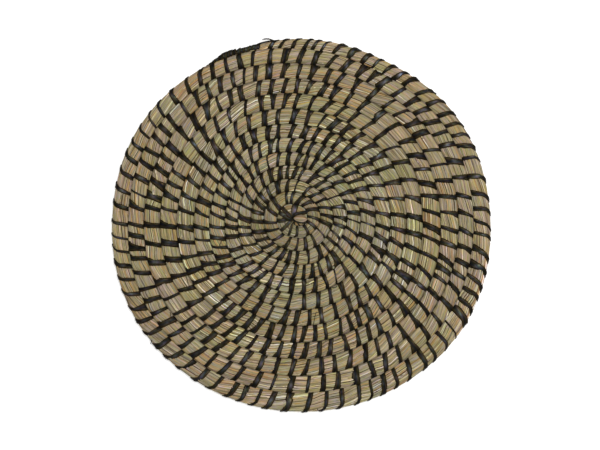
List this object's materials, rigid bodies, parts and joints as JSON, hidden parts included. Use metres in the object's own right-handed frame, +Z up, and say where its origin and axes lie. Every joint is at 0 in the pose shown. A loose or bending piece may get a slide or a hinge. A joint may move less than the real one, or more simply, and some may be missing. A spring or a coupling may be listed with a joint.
{
  "type": "coiled seagrass placemat",
  "caption": "Round placemat of natural seagrass coiled flat in a spiral, its turns sewn together with black strips and its tail tapered into the rim.",
  "frame": {"origin": "on the table under the middle of the mat's outline", "axes": "+Z up out of the table; +Y towards 12 o'clock of the mat as the picture shows it and +X towards 3 o'clock, with the coil's tail at 11 o'clock"},
  "size_m": [0.381, 0.3754, 0.008],
  "materials": {
    "seagrass": "dry natural grass, straw and olive tan, matt with a faint sheen along the strands",
    "black_strip": "black-dyed split grass, satin"
  },
  "bodies": {
    "root": {"coil": "seagrass"}
  },
  "joints": []
}
